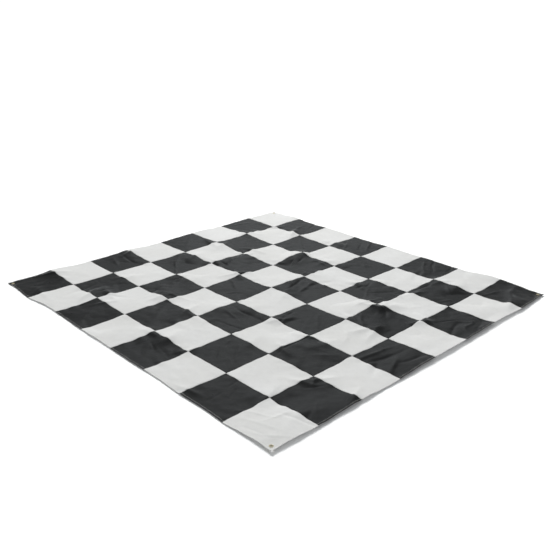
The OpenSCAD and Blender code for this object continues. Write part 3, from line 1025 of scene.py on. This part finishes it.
def brass_material(name, low, high, roughness):
    """Rolled brass that has dulled a little in the open."""
    material, tree, shader = new_material(name)
    place = add(tree, "ShaderNodeTexCoord").outputs["Object"]
    tarnish = add(tree, "ShaderNodeTexNoise", Scale=160.0, Detail=5.0, Roughness=0.65)
    marks = add(tree, "ShaderNodeTexNoise", Scale=900.0, Detail=3.0, Roughness=0.6)
    for texture in (tarnish, marks):
        tree.links.new(place, texture.inputs["Vector"])
    colour = ramp(tree, tarnish.outputs["Fac"], low, high, 0.35, 0.65)
    tree.links.new(colour, shader.inputs["Base Color"])
    worn_roughness(tree, shader, tarnish.outputs["Fac"], roughness - 0.1, roughness + 0.12)
    bump = add(tree, "ShaderNodeBump", Strength=0.25, Distance=0.0002)
    tree.links.new(marks.outputs["Fac"], bump.inputs["Height"])
    tree.links.new(bump.outputs["Normal"], shader.inputs["Normal"])
    shader.inputs["Metallic"].default_value = 0.8
    return material


NYLON = {"white": white_nylon(), "black": black_nylon()}
THREAD = {
    "white": thread_material("white_thread", (0.62, 0.62, 0.58), (0.75, 0.75, 0.71)),
    "black": thread_material("black_thread", (0.02, 0.02, 0.021), (0.04, 0.04, 0.042)),
}
BRASS = brass_material("brass", (0.58, 0.50, 0.32), (0.85, 0.77, 0.54), 0.42)

# ---------------------------------------------------------------- building the mat

FOLD_ROW = SQUARES // 2  # the first row beyond the middle seam


def attach(piece, row):
    """piece rides on the half that its first row belongs to. What begins at the middle seam rides
    on neither half, and has its place baked into its mesh."""
    if row == FOLD_ROW:
        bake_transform(piece)
    else:
        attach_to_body(piece, "near_half" if row < FOLD_ROW else "far_half")


def make_row(row, tone):
    """The four squares of one colour in a row, as one piece."""
    points, faces, gaps = [], [], []
    count = 0
    for column in range(SQUARES):
        if (column + row) % 2 != (tone == "black"):
            continue
        square_points, square_faces, square_gaps = square_mesh(column, row)
        points.append(square_points)
        faces.append(square_faces + count)
        gaps.append(square_gaps)
        count += len(square_points)
    cloth = new_mesh_object(
        f"cloth_row_{row + 1}_{tone}",
        np.concatenate(points),
        [tuple(int(k) for k in face) for face in np.concatenate(faces)],
        NYLON[tone],
    )
    gap = cloth.data.attributes.new("seam_gap", "FLOAT", "POINT")
    gap.data.foreach_set("value", np.concatenate(gaps).astype(np.float32))
    for corner, (corner_u, corner_v) in CORNERS.items():
        column = min(corner_u, SQUARES - 1)
        if row == min(corner_v, SQUARES - 1) and (column + row) % 2 == (tone == "black"):
            cut_hole(cloth, corner)
    attach(cloth, row)
    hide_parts(f"row_{row + 1}_{tone}")


def make_stitches(name, node, lines, row, tone, size):
    """One piece for a CAD stitch line that begins in a row: its thread, stitch by stitch."""
    middles = np.concatenate([middle for middle, _ in lines])
    tangents = np.concatenate([tangent for _, tangent in lines])
    points, faces = stitch_mesh(middles, tangents, *size)
    points[:, 2] = np.maximum(points[:, 2], GROUND_GAP_MM * MM)
    piece = new_mesh_object(name, points, faces, THREAD[tone])
    attach(piece, row)
    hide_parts(node)


def make_seam_stitches():
    """The long seams' stitches lie on the far side of each seam, the short ones' on the right."""
    for line in range(1, SQUARES):
        lines = [
            line_on_square(column, line, True, SEAM_STITCH_MM, SEAM_PITCH_MM)
            for column in range(SQUARES)
        ]
        place = f"{line}_{line + 1}"
        make_stitches(
            f"stitches_seam_{place}", f"seam_thread_{place}", lines, line, "black", SEAM_STITCH
        )
    for row in range(SQUARES):
        lines = [
            line_on_square(column, row, False, SEAM_STITCH_MM, SEAM_PITCH_MM)
            for column in range(1, SQUARES)
        ]
        place = f"row_{row + 1}"
        make_stitches(
            f"stitches_joining_{place}", f"joining_thread_{place}", lines, row, "black", SEAM_STITCH
        )


def make_hem_stitches():
    """The hem's stitches, in one line along each side. The lines along the left and right sides
    are parted at the fold and stop short of the near and far hems."""
    last = SQUARES - 1
    far_off = SIDE_MM - HEM_STITCH_MM
    for side, row, off in (("near", 0, HEM_STITCH_MM), ("far", last, far_off)):
        lines = [line_on_square(column, row, True, off, HEM_PITCH_MM) for column in range(SQUARES)]
        make_stitches(
            f"stitches_hem_{side}", f"hem_thread_{side}", lines, row, "white", HEM_STITCH
        )
    for side, column, off in (("left", 0, HEM_STITCH_MM), ("right", last, far_off)):
        for end, rows in (("near", range(FOLD_ROW)), ("far", range(FOLD_ROW, SQUARES))):
            lines = []
            for row in rows:
                cut_mm = (HEM_MM * (row == 0), HEM_MM * (row == last))
                lines.append(line_on_square(column, row, False, off, HEM_PITCH_MM, cut_mm))
            place = f"{side}_{end}"
            make_stitches(
                f"stitches_hem_{place}", f"hem_thread_{place}", lines, rows[0], "white", HEM_STITCH
            )


for mat_row in range(SQUARES):
    for cloth_tone in ("white", "black"):
        make_row(mat_row, cloth_tone)
make_seam_stitches()
make_hem_stitches()

for eyelet_corner in CORNERS:
    for part in ("eyelet", "washer"):
        cad_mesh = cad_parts[f"{part}_{eyelet_corner}"].data
        cad_mesh.materials.clear()
        cad_mesh.materials.append(BRASS)

# ---------------------------------------------------------------- floor and light

FLOOR_SIZE = 400.0
FLOOR_WHITE = 0.86
FLOOR_GLOW = 0.10  # the floor is a white panel lit from beneath, so its shadows stay pale

# The room's brightness at heights above the horizon, as the sine of the angle.
ROOM = [
    (0.0, 1.0),
    (0.04, 0.8),
    (0.12, 0.26),
    (0.30, 0.21),
    (0.50, 0.18),
    (0.65, 0.12),
    (0.85, 0.25),
    (0.96, 0.8),
]
ROOM_RIGHT = 0.3  # how much brighter it is at the right and darker at the left, as a share
ROOM_TINT = (0.94, 0.98, 1.0)

# Each a direction, the cosines of the angles from it where the extra light starts and where
# it is full, and its strength.
NEAR_WALL = ((-0.68, -0.73, 0.0), 0.3, 0.9, 0.35)
FAR_WINDOW = ((0.60, 0.61, 0.52), 0.95, 0.998, 1.0)

# The two lamps: a far one for the shadows, and a disk behind the mat for the ripples.
LAMP_TINT = (1.0, 0.995, 0.985)
KEY_STRENGTH = 3.4
KEY_TOWARDS = (-0.45, -0.95, -1.0)
KEY_ANGLE = math.radians(28)
SOFTBOX_WATTS = 88.0
SOFTBOX_AT = Vector((3.0, 3.0, 3.2))
SOFTBOX_AIM = Vector((0.5, 0.5, 0))
SOFTBOX_SIZE = 2.0


def make_floor():
    """A plain white floor, wide enough to reach the horizon in the picture."""
    half = FLOOR_SIZE / 2
    corners = [(-half, -half, 0), (half, -half, 0), (half, half, 0), (-half, half, 0)]
    material, _, shader = new_material("floor")
    shader.inputs["Base Color"].default_value = (FLOOR_WHITE, FLOOR_WHITE, FLOOR_WHITE, 1)
    shader.inputs["Roughness"].default_value = 0.9
    shader.inputs["Specular IOR Level"].default_value = 0.0
    shader.inputs["Emission Color"].default_value = (1, 1, 1, 1)
    shader.inputs["Emission Strength"].default_value = FLOOR_GLOW
    floor = new_mesh_object("floor", corners, [(0, 1, 2, 3)], material, smooth_shading=False)


def glow_towards(tree, towards, glow):
    """Extra light round one direction, as given for NEAR_WALL."""
    direction, start, full, strength = glow
    nearness = add(tree, "ShaderNodeVectorMath", operation="DOT_PRODUCT")
    nearness.inputs[1].default_value = Vector(direction).normalized()
    tree.links.new(towards, nearness.inputs[0])
    fade = add(tree, "ShaderNodeMapRange", interpolation_type="SMOOTHSTEP")
    fade.inputs["From Min"].default_value = start
    fade.inputs["From Max"].default_value = full
    fade.inputs["To Max"].default_value = strength
    tree.links.new(nearness.outputs["Value"], fade.inputs["Value"])
    return fade.outputs["Result"]


def make_room():
    """A studio room: a pale sweep along the floor, dim walls that are less dim to the right, a
    bright ceiling, a white wall on the near side that throws some light in under the hems, and
    a high window on the far side that glints in the black nylon."""
    world = bpy.data.worlds.new("studio")
    bpy.context.scene.world = world
    world.use_nodes = True
    tree = world.node_tree
    towards = add(tree, "ShaderNodeTexCoord").outputs["Generated"]
    split = add(tree, "ShaderNodeSeparateXYZ")
    tree.links.new(towards, split.inputs[0])
    walls = add(tree, "ShaderNodeValToRGB")
    shades = walls.color_ramp
    shades.elements[0].position = 0.0
    shades.elements[1].position = 1.0
    for height, shade in ROOM:
        stop = shades.elements.new(height)
        stop.color = (shade, shade, shade, 1)
    shades.elements.remove(shades.elements[0])
    shades.elements.remove(shades.elements[-1])
    tree.links.new(split.outputs["Z"], walls.inputs["Fac"])
    right = add(tree, "ShaderNodeMapRange")
    right.inputs["From Min"].default_value = -1.0
    right.inputs["From Max"].default_value = 1.0
    right.inputs["To Min"].default_value = 1 - ROOM_RIGHT
    right.inputs["To Max"].default_value = 1 + ROOM_RIGHT
    tree.links.new(split.outputs["X"], right.inputs["Value"])
    both = add(tree, "ShaderNodeMath", operation="MULTIPLY")
    tree.links.new(walls.outputs["Color"], both.inputs[0])
    tree.links.new(right.outputs["Result"], both.inputs[1])
    near = glow_towards(tree, towards, NEAR_WALL)
    far = glow_towards(tree, towards, FAR_WINDOW)
    glows = add(tree, "ShaderNodeMath", operation="ADD")
    tree.links.new(near, glows.inputs[0])
    tree.links.new(far, glows.inputs[1])
    whole = add(tree, "ShaderNodeMath", operation="ADD")
    tree.links.new(both.outputs[0], whole.inputs[0])
    tree.links.new(glows.outputs[0], whole.inputs[1])
    sky = tree.nodes["Background"]
    sky.inputs["Color"].default_value = (*ROOM_TINT, 1)
    tree.links.new(whole.outputs[0], sky.inputs["Strength"])


def add_light(name, kind, energy, towards, at=(0, 0, 5)):
    """A lamp that is polarised, so that it gives the nylon no glare."""
    data = bpy.data.lights.new(name, kind)
    data.energy = energy
    data.color = LAMP_TINT
    light = bpy.data.objects.new(name, data)
    bpy.context.scene.collection.objects.link(light)
    light.location = at
    light.rotation_mode = "QUATERNION"
    light.rotation_quaternion = Vector(towards).to_track_quat("-Z", "Y")
    light.visible_glossy = False
    return light


def make_lights():
    """The key light and the softbox."""
    key = add_light("key", "SUN", KEY_STRENGTH, KEY_TOWARDS)
    key.data.angle = KEY_ANGLE
    softbox = add_light("softbox", "AREA", SOFTBOX_WATTS, SOFTBOX_AIM - SOFTBOX_AT, SOFTBOX_AT)
    softbox.data.shape = "DISK"
    softbox.data.size = SOFTBOX_SIZE


make_room()
make_lights()
make_floor()
bpy.context.scene.view_settings.view_transform = "Standard"
bpy.context.scene.view_settings.look = "None"
